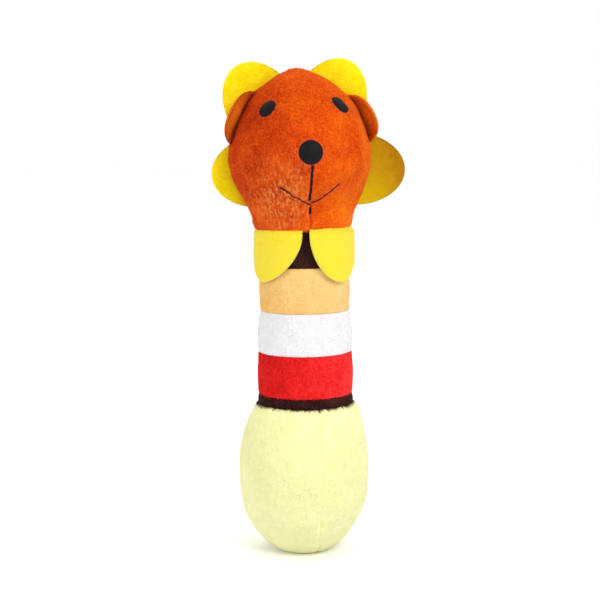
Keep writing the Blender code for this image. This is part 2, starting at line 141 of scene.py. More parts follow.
lamp("key_lamp", (0.50, -0.80, 0.75), (0, 0, 0.14), 0.5, 5.0)
lamp("fill_lamp", (-0.8, -0.6, 0.45), (0, 0, 0.12), 0.7, 1.8)
lamp("back_lamp", (0.1, 0.9, 0.9), (0, 0, 0.14), 0.6, 2.0)

# %% Camera
CAMERA_DISTANCE, CAMERA_HEIGHT, CAMERA_AZIMUTH = 0.6, 0.1938, math.radians(-7.5)
CAMERA_TARGET, CAMERA_ROLL, CAMERA_LENS = 0.1234, math.radians(0.5), 74.4

camera = bpy.data.objects.new("camera", bpy.data.cameras.new("camera"))
camera.data.lens = CAMERA_LENS
camera.data.shift_x = -0.0037
camera.data.clip_start = 0.02
across, along = math.sin(CAMERA_AZIMUTH), -math.cos(CAMERA_AZIMUTH)
camera.location = (across * CAMERA_DISTANCE, along * CAMERA_DISTANCE, CAMERA_HEIGHT)
aim = (Vector((0, 0, CAMERA_TARGET)) - camera.location).to_track_quat("-Z", "Y").to_matrix().to_4x4()
camera.rotation_euler = (aim @ Matrix.Rotation(-CAMERA_ROLL, 4, "Z")).to_euler()
bpy.context.scene.collection.objects.link(camera)
bpy.context.scene.camera = camera
print("camera stands at", [round(c, 3) for c in camera.location])

# %% [markdown]
# ## Shader maths as Python
# Node trees are easier to read as sums than as wires. `Knot` wraps one output socket, and its operators add
# the Math nodes, so `1 - mask * 0.5` builds the three nodes it names. Colours go through Mix, because a Math
# node would turn them grey.

# %% A socket that can be added up
class Knot:
    """One output socket of a material's nodes, with arithmetic."""

    def __init__(self, tree, socket):
        self.tree, self.socket = tree, socket

    def maths(self, operation, *others):
        return self.node("ShaderNodeMath", {"operation": operation}, [self, *others])

    def node(self, kind, settings, inputs, output=0):
        """Any node: its settings are set first, then each input is given a value or a link."""
        made = self.tree.nodes.new(kind)
        for key, value in settings.items():
            setattr(made, key, value)
        pairs = inputs.items() if isinstance(inputs, dict) else enumerate(inputs)
        for key, value in pairs:
            if isinstance(value, Knot):
                self.tree.links.new(value.socket, made.inputs[key])
            else:
                made.inputs[key].default_value = value
        return Knot(self.tree, made.outputs[output])

    def ramp(self, *stops):
        """A colour ramp over this value, from (position, colour) stops."""
        made = self.tree.nodes.new("ShaderNodeValToRGB")
        elements = made.color_ramp.elements
        while len(elements) < len(stops):
            elements.new(1.0)
        for element, (position, colour) in zip(elements, stops):
            element.position, element.color = position, (*colour, 1)
        self.tree.links.new(self.socket, made.inputs[0])
        return Knot(self.tree, made.outputs[0])

    def between(self, low, high):
        """0 at low and 1 at high, eased."""
        settings = {"interpolation_type": "SMOOTHSTEP"}
        return self.node("ShaderNodeMapRange", settings, [self, low, high, 0.0, 1.0])

    def mixed(self, first, second):
        """A colour that goes from first to second with this value."""
        settings = {"data_type": "RGBA"}
        colours = [(*c, 1) if isinstance(c, tuple) else c for c in (first, second)]
        return self.node("ShaderNodeMix", settings, {0: self, 6: colours[0], 7: colours[1]}, 2)

    def __add__(self, other):
        return self.maths("ADD", other)

    def __mul__(self, other):
        return self.maths("MULTIPLY", other)

    def __sub__(self, other):
        return self.maths("SUBTRACT", other)

    def __rsub__(self, other):
        return self.node("ShaderNodeMath", {"operation": "SUBTRACT"}, [other, self])

    __radd__, __rmul__ = __add__, __mul__


FINISHES = {}


def new_material(name):
    """An empty Principled material, its shader, and a Knot on its Object coordinates in millimetres."""
    made = FINISHES[name] = bpy.data.materials.new(f"{name}_finish")
    made.use_nodes = True
    tree = made.node_tree
    start = Knot(tree, None)
    place = start.node("ShaderNodeTexCoord", {}, [], "Object")
    place = place.node("ShaderNodeVectorMath", {"operation": "SCALE"}, {0: place, "Scale": 1 / MM})
    return made, tree.nodes["Principled BSDF"], place


def noise_at(place, scale, detail=2.0, stretch=(1, 1, 1), roughness=0.5):
    """Noise over a place in millimetres: scale is cycles per millimetre before stretching."""
    if stretch != (1, 1, 1):
        place = place.node("ShaderNodeVectorMath", {"operation": "MULTIPLY"}, [place, stretch])
    inputs = {"Vector": place, "Scale": scale, "Detail": detail, "Roughness": roughness}
    return place.node("ShaderNodeTexNoise", {}, inputs)


def attribute(place, name):
    """A number stored on the mesh's points."""
    return place.node("ShaderNodeAttribute", {"attribute_name": name}, [], "Fac")


def connect(value, shader, socket):
    value.tree.links.new(value.socket, shader.inputs[socket])


def bumped(height, distance, strength=1.0):
    """A Bump node over a height, as deep as distance in millimetres."""
    inputs = {"Strength": strength, "Distance": distance * MM, "Height": height}
    return height.node("ShaderNodeBump", {}, inputs)


print("shader helpers ready")

# %% [markdown]
# ## Plush
# Plush is a knitted ground with a short, dense pile. The pile is not one colour: its roots are dark because
# light hardly reaches them, its tips are pale, and wherever it has been stroked another way it shows a
# lighter or darker patch. The pile itself is geometry here. The material says how a tuft is coloured from
# root to tip, where the patches lie, and where the nap was pressed flat beside embroidery. It also paints
# light and shade: the darker roots are painted shade, some places are lightened or darkened with painted
# light, and the ears' hollows get painted shade.

# %% Plush material
PLUSH = {
    "pale_yellow_plush": ((0.84, 0.82, 0.36), (0.90, 0.89, 0.45), (0.95, 0.94, 0.54)),
    "brown_plush": ((0.010, 0.003, 0.003), (0.030, 0.009, 0.008), (0.085, 0.028, 0.018)),
    "red_plush": ((0.50, 0.008, 0.008), (0.76, 0.016, 0.016), (0.90, 0.050, 0.050)),
    "white_plush": ((0.74, 0.71, 0.74), (0.80, 0.775, 0.795), (0.85, 0.83, 0.85)),
    "apricot_plush": ((0.78, 0.42, 0.12), (0.86, 0.55, 0.20), (0.90, 0.64, 0.30)),
    "orange_plush": ((0.42, 0.022, 0.002), (0.72, 0.075, 0.004), (0.92, 0.20, 0.006)),
}
PRESSED_NAP = (0.46, 0.11, 0.06)
COARSE_FIBRE = (0.84, 0.33, 0.085)
# The colour of the painted shade in an ear's hollow.
EAR_PIT_SHADE = (0.12, 0.010, 0.004)


def plush(name):
    """Pile fabric whose tone follows each tuft's height, the lie of the nap, pressed places, and painted light
    and shade.
    """
    deep, middle, bright = PLUSH[name]
    made, shader, place = new_material(name)
    patches = noise_at(place, 0.07, 3.0, roughness=0.6)
    lie = noise_at(place, 0.45, 3.0, (1.0, 1.0, 0.35), 0.65)
    grain = noise_at(place, 0.95, 2.0, roughness=0.75)
    tip = attribute(place, "tip")
    # Painted light and shade stored on the mesh: the head's and bands' side towards the key lamp is lighter,
    # the grip is lighter towards its foot and the ears' lobes are lighter.
    painted_light = attribute(place, "painted_light")
    tone = (patches - 0.5) * 0.9 + (lie - 0.5) * 0.6 + (grain - 0.5) * 1.3 + tip * 0.35 + 0.30 + painted_light * 0.5
    colour = tone.ramp((0.0, deep), (0.45, middle), (1.0, bright))
    if name == "orange_plush":
        streaks = noise_at(place, 0.75, 2.0, (1.0, 1.0, 0.45), 0.6).between(0.42, 0.66)
        colour = (streaks * attribute(place, "coarse") * 0.8).mixed(colour, COARSE_FIBRE)
    pressed = attribute(place, "pressed")
    colour = (pressed * 0.32).mixed(colour, PRESSED_NAP if name == "orange_plush" else deep)
    seam = attribute(place, "seam")
    colour = (seam * 0.55).mixed(colour, deep)
    # An ear's hollow is darkened with painted shade.
    if name == "orange_plush":
        colour = (attribute(place, "pit_shade") * 0.85).mixed(colour, EAR_PIT_SHADE)
    connect(colour, shader, "Base Color")
    connect(bumped(grain + lie * 0.5, 0.25, 0.5), shader, "Normal")
    shader.inputs["Roughness"].default_value = 0.95
    shader.inputs["Sheen Weight"].default_value = 0.02
    shader.inputs["Sheen Roughness"].default_value = 0.5
    shader.inputs["Specular IOR Level"].default_value = 0.03
    return made


for plush_name in PLUSH:
    plush(plush_name)
print("plush:", sorted(PLUSH))

# %% [markdown]
# ## Felt, thread and what is inside
# Felt is wool or polyester fibre pressed into a sheet, so it has no weave: only short fibres that lie every
# way. Satin stitch is a row of parallel threads, which is why black embroidery still shows soft streaks of
# light. The stuffing and the squeaker are hidden by the covers, and have a plain but true finish.

# %% Felt, thread, stuffing and squeaker materials
def felt():
    made, shader, place = new_material("yellow_felt")
    clouds = noise_at(place, 0.16, 4.0, roughness=0.65)
    fibres_one = noise_at(place, 1.0, 4.0, (1.0, 0.8, 0.6), 0.75)
    fibres_two = noise_at(place, 0.8, 4.0, (0.7, 0.8, 1.0), 0.75)
    tone = (clouds - 0.5) * 1.2 + (fibres_one + fibres_two - 1.0) * 1.0 + 0.5
    colour = tone.ramp((0.0, (0.66, 0.46, 0.003)), (0.5, (0.82, 0.66, 0.004)), (1.0, (0.90, 0.78, 0.02)))
    # The bib petals are a paler, less saturated yellow, varied in clouds.
    paler = attribute(place, "paler_yellow") * (0.66 + (clouds - 0.5) * 0.9)
    colour = paler.mixed(colour, (0.68, 0.55, 0.050))
    # Painted highlight: the cut edge is paler.
    colour = (attribute(place, "rim_highlight") * 0.35).mixed(colour, (0.88, 0.80, 0.25))
    colour = (attribute(place, "shade") * (0.9 + (clouds - 0.5) * 0.5)).mixed(colour, (0.36, 0.16, 0.002))
    connect(colour, shader, "Base Color")
    connect(bumped(fibres_one + fibres_two, 0.35, 0.7), shader, "Normal")
    shader.inputs["Roughness"].default_value = 0.92
    shader.inputs["Sheen Weight"].default_value = 0.08
    shader.inputs["Specular IOR Level"].default_value = 0.03
    return made


def thread():
    made, shader, place = new_material("black_thread")
    strands = noise_at(place, 3.0, 2.0, (1.0, 1.0, 0.3))
    colour = strands.ramp((0.3, (0.0025, 0.0018, 0.0025)), (0.8, (0.013, 0.009, 0.012)))
    connect(colour, shader, "Base Color")
    connect((strands * 0.3 + 0.42), shader, "Roughness")
    connect(bumped(strands, 0.15, 0.5), shader, "Normal")
    shader.inputs["Specular IOR Level"].default_value = 0.10
    return made


def fibrefill():
    made, shader, place = new_material("fibrefill")
    wisps = noise_at(place, 0.5, 4.0, (1.0, 1.0, 0.4), 0.7)
    connect(wisps.ramp((0.2, (0.66, 0.66, 0.64)), (0.8, (0.90, 0.90, 0.88))), shader, "Base Color")
    connect(bumped(wisps, 0.8), shader, "Normal")
    shader.inputs["Roughness"].default_value = 1.0
    return made


def squeaker_plastic():
    made, shader, place = new_material("squeaker_plastic")
    haze = noise_at(place, 0.25, 2.0)
    connect(haze.ramp((0.2, (0.72, 0.75, 0.78)), (0.8, (0.86, 0.88, 0.90))), shader, "Base Color")
    connect((haze * 0.15 + 0.35), shader, "Roughness")
    return made


for make_finish in (felt, thread, fibrefill, squeaker_plastic):
    make_finish()
print("finishes:", sorted(FINISHES))

# %% [markdown]
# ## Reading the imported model
# Every new piece starts from the solid that it replaces. Rays are cast at the solids from outside, and where
# they land is the true surface. So nothing here repeats the model's sizes by hand.

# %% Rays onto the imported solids
def surface_of(*names):
    """A tree to cast rays at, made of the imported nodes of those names."""
    points, faces = [], []
    for name in names:
        mesh = frame["nodes"][name].data
        faces += [[i + len(points) for i in polygon.vertices] for polygon in mesh.polygons]
        points += [v.co.copy() for v in mesh.vertices]
    return BVHTree.FromPolygons(points, faces)


def surface_of_mesh(bm):
    return BVHTree.FromBMesh(bm)


def landing(tree, origin, direction):
    """Where a ray first lands, or None."""
    return tree.ray_cast(Vector(origin), Vector(direction).normalized())[0]


def middle_of(name):
    low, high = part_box(name)
    return (low + high) / 2


def add_piece(name, bm, material, body=None, replaces=()):
    """A mesh object from a bmesh, with its material, hung on its body if one is given, and hiding the parts it
    replaces.
    """
    mesh = bpy.data.meshes.new(name)
    bm.to_mesh(mesh)
    bm.free()
    mesh.materials.append(FINISHES[material])
    mesh.shade_smooth()
    made = bpy.data.objects.new(name, mesh)
    bpy.context.scene.collection.objects.link(made)
    if body:
        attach(made, body)
    if replaces:
        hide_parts(*replaces)
    return made


def wobble(point, scale, amount, seed=0.0):
    """Smooth noise in millimetres at a point in metres: scale is cycles per millimetre."""
    spot = Vector(point) * (scale / MM) + Vector((seed, seed * 1.7, -seed))
    return noise.noise(spot) * amount * MM


# %% [markdown]
# ## Pile as geometry
# A surface of small quads is turned into plush by poking every quad: each gets a point in its middle, which
# is raised along the surface's normal and combed a little to one side. Thousands of tiny pyramids then stand
# as tufts, the outline turns soft, and the mesh is still one closed skin. Each tuft's point stores a `tip`
# near 1, so that the material can tell root from tip.

# %% Turning a surface into plush
def number_layer(bm, name):
    return bm.verts.layers.float.get(name) or bm.verts.layers.float.new(name)


def raise_pile(bm, height, comb=(0, 0, -0.35), seed=1.0, keep=lambda face: True):
    """Pokes the faces that keep allows, and raises each new point by about height, in millimetres."""
    rng = np.random.default_rng(int(seed * 1000))
    tip, pressed = number_layer(bm, "tip"), number_layer(bm, "pressed")
    bm.normal_update()
    faces = [face for face in bm.faces if keep(face)]
    flat = {}
    for face in faces:
        flat[face.index] = sum(v[pressed] for v in face.verts) / len(face.verts)
    order = [flat[face.index] for face in faces]
    normals = [face.normal.copy() for face in faces]
    layers = bm.verts.layers.float
    carried = [layers[name] for name in ("painted_light", "coarse", "pit_shade") if name in layers]
    kept = [[sum(v[layer] for v in face.verts) / len(face.verts) for layer in carried] for face in faces]
    poked = bmesh.ops.poke(bm, faces=faces)
    jitter = rng.normal(0, 1, (len(poked["verts"]), 3))
    lengths = rng.uniform(0.55, 1.25, len(poked["verts"]))
    combing = Vector(comb)
    for i, v in enumerate(poked["verts"]):
        normal, low = normals[i], order[i]
        rise = height * lengths[i] * (1 - 0.75 * low)
        lean = combing + Vector(jitter[i]) * 0.22
        lean -= normal * lean.dot(normal)
        swirl = 0.45 * noise.noise(v.co * (0.09 / MM) + Vector((seed, 0, 0)))
        lean += normal.cross(Vector((0, 0, 1))) * swirl
        v.co += (normal + lean) * (rise * MM)
        v[tip] = 1.0 - 0.7 * low
        v[pressed] = low
        for layer, value in zip(carried, kept[i]):
            v[layer] = value
    return bm


def ring_spin(profile, segments):
    """A closed ring turned round Z from (radius, height) points in millimetres, with even quads."""
    bm = bmesh.new()
    corners = [bm.verts.new((r * MM, 0, z * MM)) for r, z in profile]
    edges = [bm.edges.new(pair) for pair in zip(corners, corners[1:])]
    if profile[0][0] > 0:
        edges.append(bm.edges.new((corners[-1], corners[0])))
    bmesh.ops.spin(
        bm,
        geom=corners + edges,
        axis=(0, 0, 1),
        cent=(0, 0, 0),
        angle=2 * math.pi,
        steps=segments,
        use_merge=True,
    )
    bmesh.ops.remove_doubles(bm, verts=bm.verts, dist=1e-6)
    bmesh.ops.recalc_face_normals(bm, faces=bm.faces)
    return bm


print("pile helpers ready")

# %% [markdown]
# ## Stuffed forms
# Stuffing pushes a cover outwards until the cloth is taut, and the seams hold it back. That is what Blender's
# Cloth does with a little pressure and some pinned points, so the grip and the head are blown up that way.
# No point may travel further than a cap, so the result keeps its true size.

# %% Blowing up a cover with Cloth
CLOTH_FRAMES = 16


def blown_up(bm, pins, pressure, cap):
    """The bmesh after a short cloth simulation. pins is each point's hold, 0 to 1; cap is in millimetres."""
    mesh = bpy.data.meshes.new("cover_in_work")
    bm.to_mesh(mesh)
    start = np.empty(len(mesh.vertices) * 3)
    mesh.vertices.foreach_get("co", start)
    start = start.reshape(-1, 3)
    work = bpy.data.objects.new("cover_in_work", mesh)
    bpy.context.scene.collection.objects.link(work)
    group = work.vertex_groups.new(name="pins")
    for index, hold in enumerate(pins):
        if hold > 0:
            group.add([index], hold, "REPLACE")
    cloth = work.modifiers.new("cloth", "CLOTH")
    settings = cloth.settings
    settings.use_pressure = True
    settings.uniform_pressure_force = pressure
    settings.vertex_group_mass = "pins"
    settings.tension_stiffness = settings.compression_stiffness = 12
    settings.bending_stiffness = 0.4
    settings.effector_weights.gravity = 0
    scene = bpy.context.scene
    for step in range(1, CLOTH_FRAMES + 1):
        scene.frame_set(step)
    settled = work.evaluated_get(bpy.context.evaluated_depsgraph_get()).to_mesh()
    end = np.empty(len(settled.vertices) * 3)
    settled.vertices.foreach_get("co", end)
    shift = end.reshape(-1, 3) - start
    far = np.linalg.norm(shift, axis=1, keepdims=True)
    shift *= np.minimum(1, cap * MM / np.maximum(far, 1e-9))
    scene.frame_set(1)
    bpy.data.objects.remove(work)
    bm.verts.ensure_lookup_table()
    for v, place in zip(bm.verts, start + shift):
        v.co = place
    print("cloth moved points by up to", round(float(np.linalg.norm(shift, axis=1).max()) / MM, 2), "mm")
    return bm


def quad_ball(across):
    """A unit ball of even quads: a cube with this many quads across each face, pushed out round."""
    bm = bmesh.new()
    bmesh.ops.create_cube(bm, size=2)
    bmesh.ops.subdivide_edges(bm, edges=bm.edges, cuts=across - 1, use_grid_fill=True)
    for v in bm.verts:
        x, y, z = (math.tan(c * math.pi / 4) for c in v.co)
        v.co = Vector((x, y, z)).normalized()
    return bm


def wrapped(bm, tree, centre, tuck):
    """Every point of a unit ball moved to where its ray lands on the tree, tuck millimetres under it."""
    reach = 0.2
    for v in bm.verts:
        direction = v.co.normalized()
        hit = landing(tree, Vector(centre) + direction * reach, -direction)
        v.co = hit - direction * tuck * MM
    return bm


def evened(bm, times):
    """Smooths away the facets of the solid that the points landed on."""
    every_way = {"use_axis_x": True, "use_axis_y": True, "use_axis_z": True}
    for _ in range(times):
        bmesh.ops.smooth_vert(bm, verts=bm.verts, factor=0.5, **every_way)
    return bm


def halved(bm):
    """Each quad cut into four."""
    bmesh.ops.subdivide_edges(bm, edges=bm.edges, cuts=1, use_grid_fill=True, smooth=0.0)
    return bm


# %% [markdown]
# ## The grip
# The grip is an egg of pale velour, sewn from four panels. Where two panels meet, the stitches pull the pile
# into a narrow valley that puckers a little. The cover is blown up first, then the valleys are pressed in
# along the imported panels' own edges, and last the pile is raised.

# %% The stuffed grip
GRIP_PANELS = [f"grip_panel_{face}_{side}" for face in ("front", "back") for side in ("left", "right")]
grip_low, grip_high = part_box("grip_panel_front_left")
front_seam_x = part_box("grip_panel_front_left")[1].x
side_seam_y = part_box("grip_panel_front_left")[1].y
GRIP_TUFT, STUFFING_GAP = 0.5, 0.35 * MM
COARSE = 44
GRIP_STUFFING = [name for name in frame["nodes"] if name.startswith("grip") and "stuffing" in name]


def valley(distance, width):
    """1 on a line and 0 beyond a width, both in metres."""
    return math.exp(-((distance / (width * MM)) ** 2))


def keep_outside(bm, names, gap):
    """Moves out any point that sank into the stuffing of those names, or nearer than gap to it."""
    tree = surface_of(*names)
    for v in bm.verts:
        near, normal, _, _ = tree.find_nearest(v.co)
        height = (v.co - near).dot(normal)
        if height < gap:
            v.co += normal * (gap - height)


def grip_cover():
    tree = surface_of(*GRIP_PANELS, "grip_stuffing_upper")
    centre = Vector((0, 0, (grip_low.z + grip_high.z) / 2))
    bm = evened(wrapped(quad_ball(COARSE), tree, centre, 0.0), 3)
    rim = grip_high.z - 0.004
    seams = []
    for v in bm.verts:
        gap = min(abs(v.co.x - front_seam_x), abs(v.co.y - side_seam_y))
        seams.append(1.0 if v.co.z > rim or v.co.z < 0.0015 else 0.9 * valley(gap, 1.6))
    bm = blown_up(bm, seams, 3.0, 1.4)
    bm = evened(halved(bm), 2)
    seam, pressed, painted_light = (number_layer(bm, name) for name in ("seam", "pressed", "painted_light"))
    bm.normal_update()
    for v in bm.verts:
        front = v.co.x - front_seam_x + wobble((0, v.co.y, v.co.z), 0.12, 0.7, 3)
        side = v.co.y - side_seam_y + wobble((v.co.x, 0, v.co.z), 0.12, 0.7, 5)
        gap = min(abs(front), abs(side))
        line = valley(gap, 0.55)
        pucker = valley(gap, 3.0) * wobble(v.co, 0.35, 0.35, 8)
        dents = wobble(v.co, 0.06, 0.7, 2) + wobble(v.co, 0.18, 0.25, 4)
        fade = min(1.0, max(0.0, (v.co.z - 0.003) / 0.01))
        v.co += v.normal * (fade * (dents + pucker) - line * 0.55 * MM)
        v[seam] = line
        v[pressed] = 0.6 * line
        # Painted light: the grip is lighter towards its foot, where the floor shades it.
        v[painted_light] = 0.8 * valley(v.co.z, 30.0)
    keep_outside(bm, GRIP_STUFFING, STUFFING_GAP)
    flatten_base(bm)
    raise_pile(bm, GRIP_TUFT, (0, 0, -0.3), 2.0, lambda f: f.calc_center_median().z > 0.0012)
    return bm


def flatten_base(bm):
    """Keeps the cover off the floor, so that it rests on a flat patch."""
    for v in bm.verts:
        v.co.z = max(v.co.z, 0.0002)


grip = add_piece("grip_cover", grip_cover(), "pale_yellow_plush", "grip", replaces=GRIP_PANELS)
print("grip has", len(grip.data.polygons), "faces")

# %% [markdown]
# ## The bands of the stick
# Each band is a short tube of velour with both edges turned in. Stuffing makes it bulge between its seams.
# The tubes are turned from a profile, with rows of quads as fine as the pile, and the two bands that cross a
# joint bend with it. Stray fibres cross the seams, most of all from the brown band over the pale grip.

# %% Five bands
BANDS = {
    "waist_band": ("brown_plush", 0.40),
    "red_band": ("red_plush", 0.42),
    "white_band": ("white_plush", 0.42),
    "apricot_band": ("apricot_plush", 0.40),
    "neck_band": ("brown_plush", 0.40),
}
ROW, TURN_IN, ROUND = 0.6, 4.0, 240
EDGE_MEETS, NECK_TUCK, PILE_ROOM, WAIST_SLIM = 0.12, 2.6, 0.35, 0.55
# Painted light: how much paler a band grows towards the toy's left, the key lamp's side, and darker towards its
# right.
BAND_PAINTED_LIGHT = {"red_band": 0.5, "apricot_band": 0.35}
# Stray fibres over a band's edges: how many over the lower edge and over the upper one.
FRINGES = {
    "waist_band": (620, 0),
    "red_band": (330, 330),
    "white_band": (0, 120),
    "apricot_band": (120, 0),
    "neck_band": (140, 0),
}
# The grip widens under the waist band, so the fibres there lean out to lie over it.
WAIST_FLARE = 0.7


def fringe(bm, radius, height, count, down, flare, seed):
    """Fine tapering fibres that stray over a seam, all round a band, in millimetres."""
    rng = np.random.default_rng(int(seed * 77))
    tip = number_layer(bm, "tip")
    for turn, length, lean, sway in zip(
        rng.uniform(0, 2 * math.pi, count),
        rng.uniform(0.6, 1.7, count),
        rng.uniform(0.15, 0.6, count) + flare,
        rng.normal(0, 0.45, count),
    ):
        out = Vector((math.cos(turn), math.sin(turn), 0))
        along = Vector((-out.y, out.x, 0))
        way = (Vector((0, 0, down)) + out * lean + along * sway).normalized()
        length *= 1 + flare
        root = (out * (radius - 0.1 + flare) + Vector((0, 0, height - down * (0.4 + 0.4 * flare)))) * MM
        turned = way.to_track_quat("Z", "Y").to_matrix().to_4x4()
        fibre = bmesh.ops.create_cone(
            bm,
            cap_ends=True,
            segments=3,
            radius1=0.10 * MM,
            radius2=0.02 * MM,
            depth=length * MM,
            matrix=Matrix.Translation(root + way * length * MM / 2) @ turned,
        )
        for v in fibre["verts"]:
            v[tip] = 0.8


def band_cover(name, tuft, seed):
    tree = surface_of(name)
    is_waist = name == "waist_band"
    low, packed_high = (corner.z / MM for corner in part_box(name))
    centre_x = middle_of(name).x
    low -= EDGE_MEETS
    high = packed_high + (NECK_TUCK if name == "neck_band" else EDGE_MEETS)
    rows = max(6, round((high - low) / ROW))
    heights = [low + (high - low) * i / rows for i in range(rows + 1)]
    outer = []
    for z in heights:
        probe = min(max(z, low + 0.5), high - 0.5, packed_high - 0.3) * MM
        radius = (landing(tree, (0.1, 0, probe), (-1, 0, 0)).x - centre_x) / MM
        edge = min(z - low, high - z)
        slim = WAIST_SLIM if is_waist else 0.0
        outer.append((radius - PILE_ROOM - slim - 0.45 * math.exp(-edge / 0.6), z))
    bottom, top = outer[0][0] - TURN_IN, outer[-1][0] - TURN_IN
    inner = [(top, high - 1.2), (bottom, low + 1.2)]
    bm = ring_spin([(bottom, low), *outer, (top, high), *inner], ROUND)
    seam, pressed, painted_light, _ = (number_layer(bm, layer) for layer in ("seam", "pressed", "painted_light", "tip"))
    bm.normal_update()
    outside = {v for v in bm.verts if math.hypot(v.co.x, v.co.y) > (max(bottom, top) + 2) * MM}
    for v in outside:
        edge = min(v.co.z / MM - low, high - v.co.z / MM)
        back = valley(v.co.x, 0.55) if v.co.y > 0 else 0.0
        puckers = math.exp(-edge / 2.2) * wobble(v.co, 0.30, 0.35, seed)
        swell = (1 - math.exp(-edge / 0.7)) * (wobble(v.co, 0.08, 0.4, seed) + puckers)
        v.co += v.normal * (swell - back * 0.5 * MM)
        # Painted light: paler towards the toy's left, darker towards its right.
        v[painted_light] = BAND_PAINTED_LIGHT.get(name, 0.0) * v.co.x / (outer[0][0] * MM)
        v[seam] = max(math.exp(-edge / 0.45) * 0.8, back)
        v[pressed] = 0.4 * back
    raise_pile(bm, tuft, (0, 0, -0.3), seed, lambda f: all(v in outside for v in f.verts))
    for (radius, height), count, down in zip((outer[0], outer[-1]), FRINGES[name], (-1, 1)):
        flare = WAIST_FLARE if is_waist and down < 0 else 0.0
        fringe(bm, radius, height, count, down, flare, seed + down)
    bmesh.ops.translate(bm, verts=bm.verts, vec=(centre_x, 0, 0))
    return bm


for number, (name, (finish, tuft)) in enumerate(BANDS.items()):
    cover = add_piece(f"{name}_cover", band_cover(name, tuft, 11.0 + number), finish, replaces=[name])
    if name == "waist_band":
        low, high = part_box(name)
        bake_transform(cover, "grip", "stick", start=(0, 0, low.z), end=(0, 0, high.z))
    elif name == "apricot_band":
        low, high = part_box(name)
        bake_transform(cover, "collar", "head", start=(0, 0, low.z), end=(0, 0, high.z))
    else:
        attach(cover, "head" if name == "neck_band" else "stick")
    print(cover.name, len(cover.data.polygons), "faces")

# %% [markdown]
# ## The head
# The head is the softest form: a face panel and two back panels, blown up by stuffing, with the mane's petals
# caught in the seam between face and back. The pile is shortest where embroidery pressed it, and a sewn dart
# runs from the mouth down to the chin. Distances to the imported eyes, nose and mouth say where that is.

# %% The stuffed head
HEAD_NODES = ["face_panel", "head_back_left", "head_back_right"]
face_low, face_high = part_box("face_panel")
back_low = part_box("head_back_left")[0]
mane_seam_y = (face_high.y + back_low.y) / 2
HEAD_TUFT = 0.62
TEMPLE_HOLLOW = 1.5 * MM
head_axis_low = Vector((middle_of("head_stuffing").x, 0, face_low.z))
HEAD_HALF = (face_high.x - face_low.x) / 2
temple_z = middle_of("ear_left_inner").z
chin = middle_of("chin_stitch")
nose_middle = middle_of("nose")


def centre_line_x(z):
    """Where the head's middle plane is at a height: the head leans a little to one side."""
    share = (z - chin.z) / (nose_middle.z - chin.z)
    return chin.x + (nose_middle.x - chin.x) * share


def mouth_points(name):
    """The two ends of a line of stitches, as (x, z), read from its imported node."""
    low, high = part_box(name)
    if name == "smile_left":
        return (low.x, high.z), (high.x + 1.6 * MM, low.z)
    if name == "smile_right":
        return (high.x, high.z), (low.x - 0.7 * MM, low.z + 0.5 * MM)
    return ((low.x + high.x) / 2, high.z), ((low.x + high.x) / 2, low.z)


PADS = [(middle_of(name), reach) for name, reach in (("eye_left", 4.6), ("eye_right", 4.6), ("nose", 6.0))]
MOUTH = [mouth_points(name) for name in ("nose_line", "smile_left", "smile_right")]


def mouth_gap(point, start, end):
    """The distance in millimetres, seen from the front, from a point to a line of stitches."""
    (ax, az), (bx, bz) = start, end
    dx, dz = bx - ax, bz - az
    share = ((point.x - ax) * dx + (point.z - az) * dz) / (dx * dx + dz * dz)
    share = min(1.0, max(0.0, share))
    return math.hypot(point.x - ax - dx * share, point.z - az - dz * share) / MM


def pressed_nap(point):
    """How flat the nap lies beside the embroidery, from 0 to 1."""
    if point.y > mane_seam_y:
        return 0.0
    most = 0.0
    for middle, reach in PADS:
        gap = (point - middle).length / MM - reach
        most = max(most, 0.8 * math.exp(-((max(0.0, gap) / 0.6) ** 2)))
    for start, end in MOUTH:
        most = max(most, 0.5 * math.exp(-((mouth_gap(point, start, end) / 1.3) ** 2)))
    return most


def painted_light_tone(point):
    """Painted light and shade: darker on the left cheek, lighter on the right and under the smile, with a
    little random tone.
    """
    across = (point.x - nose_middle.x) / HEAD_HALF
    below = max(0.0, (nose_middle.z - point.z) / HEAD_HALF)
    front = 1.0 if point.y < 0 else 0.3
    return front * (0.42 * across + 0.25 * below * (across > -0.2)) + wobble(point, 0.05, 0.12, 61) / MM


def coarse_share(point):
    """Left of the chin's seam the pile is combed open, so that its paler roots show as short streaks."""
    if point.y > 0:
        return 0.0
    across = (point.x - nose_middle.x) / MM + 11
    up = (point.z - nose_middle.z) / MM + 21
    return math.exp(-((across / 13) ** 2) - ((up / 15) ** 2)) if point.x < centre_line_x(point.z) else 0.0


